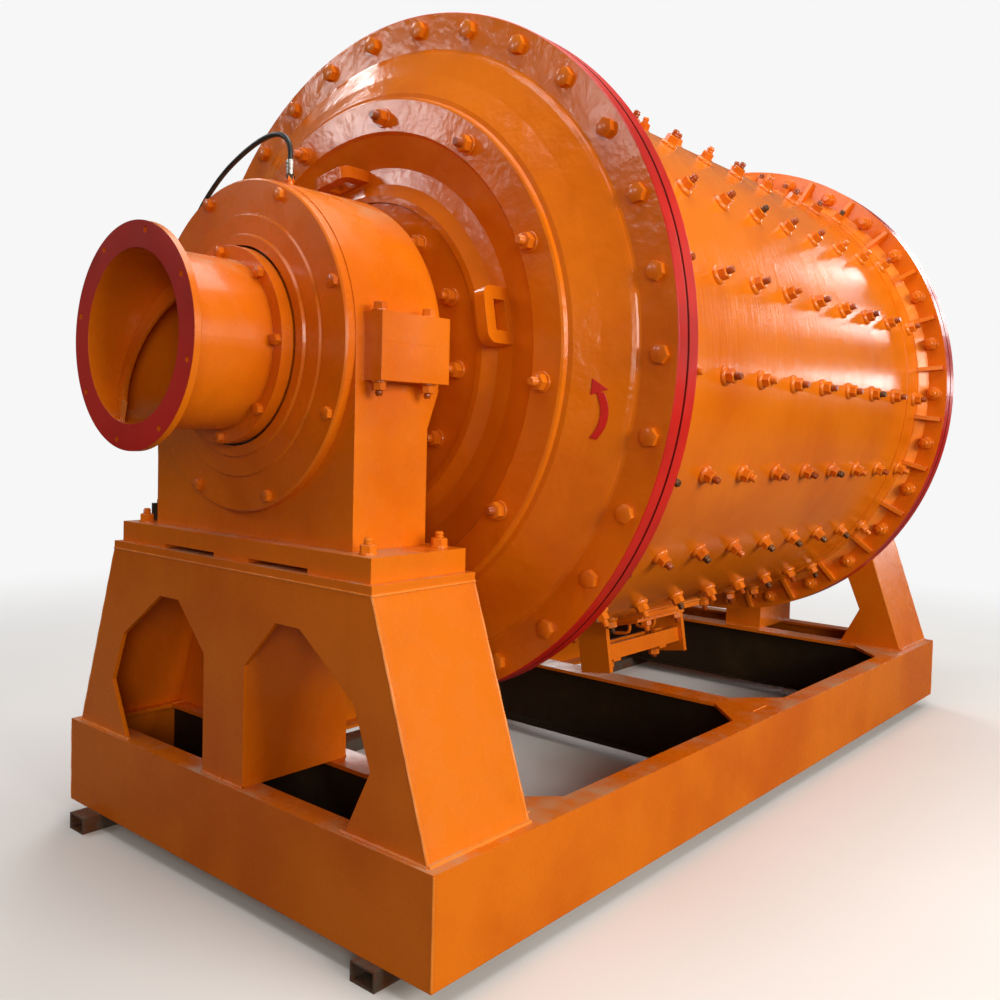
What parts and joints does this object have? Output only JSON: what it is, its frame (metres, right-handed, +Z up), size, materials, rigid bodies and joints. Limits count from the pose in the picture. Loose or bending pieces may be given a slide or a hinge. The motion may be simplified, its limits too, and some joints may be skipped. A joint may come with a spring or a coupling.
{
  "type": "ball mill",
  "caption": "Ball mill: liner-bolted drum turning in two trunnion bearings on plate stands, on a welded skid base.",
  "frame": {"origin": "centre of the base on the floor, under the drum's mid-plane", "axes": "+Z up, +Y along the mill's axis from the feed end to the discharge end, +X to the right seen from the feed end"},
  "size_m": [2.524, 4.806, 3.0688],
  "materials": {
    "orange_paint": "gloss enamel with dust and weld marks",
    "red_paint": "gloss enamel",
    "black_paint": "matt black primer",
    "bare_steel": "mill scale with rust",
    "bearing_steel": "ground",
    "fitting_steel": "zinc plated",
    "black_steel": "oily black",
    "black_rubber": "satin rubber"
  },
  "bodies": {
    "frame": {"side_beam_left": "orange_paint", "side_beam_right": "orange_paint", "end_beam_feed": "orange_paint", "end_beam_discharge": "orange_paint", "cross_beam_feed": "orange_paint", "cross_beam_middle": "orange_paint", "cross_beam_discharge": "orange_paint", "corner_plates": "orange_paint", "runner_left": "bare_steel", "runner_right": "bare_steel", "feed_stand_outer_plate": "orange_paint", "feed_stand_inner_plate": "orange_paint", "feed_stand_sides": "orange_paint", "feed_stand_column": "orange_paint", "feed_stand_cap": "orange_paint", "discharge_stand_outer_plate": "orange_paint", "discharge_stand_inner_plate": "orange_paint", "discharge_stand_sides": "orange_paint", "discharge_stand_column": "orange_paint", "discharge_stand_cap": "orange_paint", "feed_bearing_foot": "orange_paint", "feed_bearing_pedestal": "orange_paint", "feed_bearing_cap": "orange_paint", "feed_bearing_ring": "bearing_steel", "feed_bearing_cover": "orange_paint", "feed_bearing_inner_cover": "orange_paint", "discharge_bearing_foot": "orange_paint", "discharge_bearing_pedestal": "orange_paint", "discharge_bearing_cap": "orange_paint", "discharge_bearing_ring": "bearing_steel", "discharge_bearing_cover": "orange_paint", "discharge_bearing_inner_cover": "orange_paint", "hose_fitting": "fitting_steel", "hose_block": "black_steel", "lube_hose": "black_rubber"},
    "drum": {"drum_shell": "orange_paint", "feed_shell_flange": "orange_paint", "feed_head": "orange_paint", "feed_lifting_loops": "orange_paint", "feed_trunnion": "orange_paint", "feed_pipe": "orange_paint", "discharge_shell_flange": "orange_paint", "discharge_head": "orange_paint", "discharge_lifting_loops": "orange_paint", "discharge_trunnion": "orange_paint", "discharge_pipe": "orange_paint", "feed_spiral": "orange_paint", "manhole_seat": "orange_paint", "manhole_clamp": "orange_paint"}
  },
  "joints": [
    {"name": "drum_spin", "type": "hinge", "parent": "frame", "child": "drum", "pos_m": [0, 0, 1.807], "axis": [0, 1, 0], "continuous": true}
  ]
}
